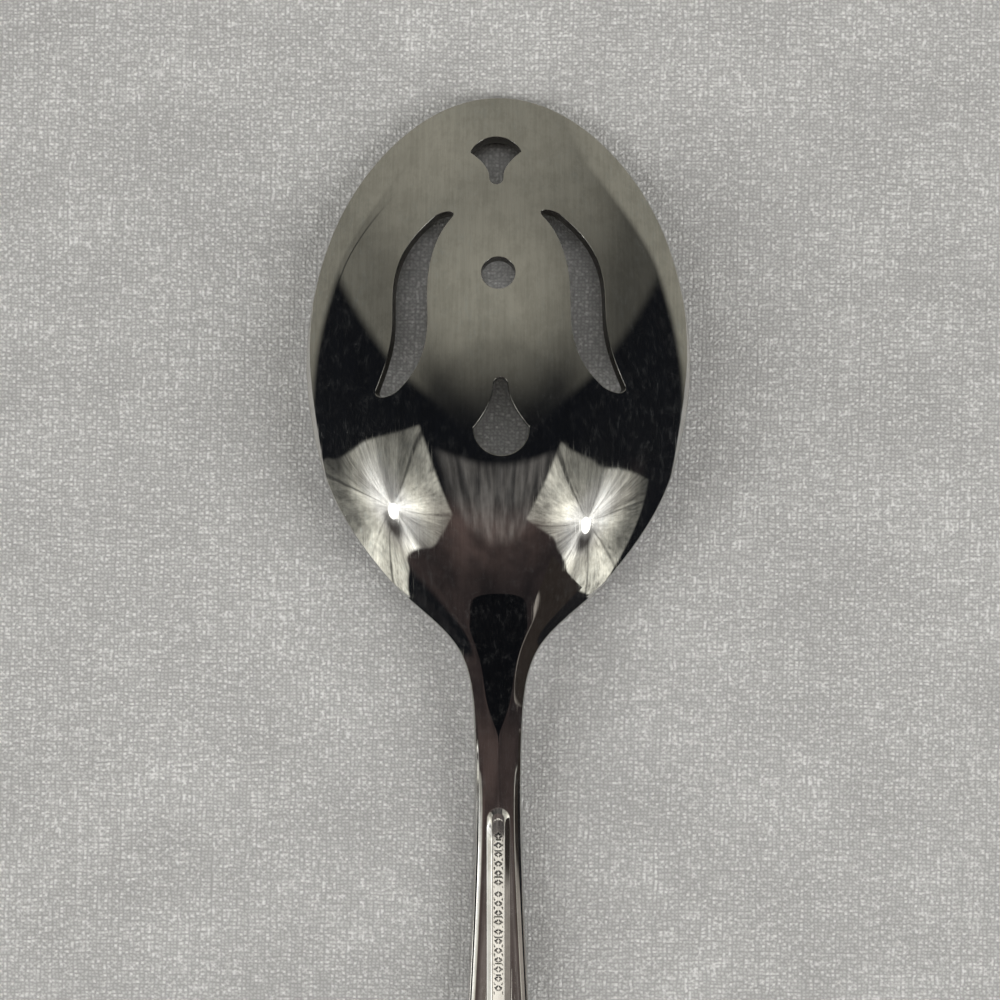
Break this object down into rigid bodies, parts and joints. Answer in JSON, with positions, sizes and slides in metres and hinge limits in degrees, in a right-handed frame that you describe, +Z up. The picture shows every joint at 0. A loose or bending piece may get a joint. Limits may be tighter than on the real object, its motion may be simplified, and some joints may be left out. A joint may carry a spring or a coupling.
{
  "type": "slotted serving spoon",
  "caption": "Serving spoon with a pierced oval bowl, curved slots, a narrow neck and a widening handle with a raised band on its back.",
  "frame": {"origin": "on the table under the middle of the spoon's length and width, with the spoon lying on its face", "axes": "+Z up, +Y along the spoon toward the tip of the bowl, +X to the right when seen from above"},
  "size_m": [0.0472, 0.2138, 0.0151],
  "materials": {
    "polished_steel": "polished stainless steel with fine lengthwise scratches from use"
  },
  "bodies": {
    "root": {"bowl": "polished_steel", "neck": "polished_steel", "stem": "polished_steel", "handle": "polished_steel"}
  },
  "joints": []
}
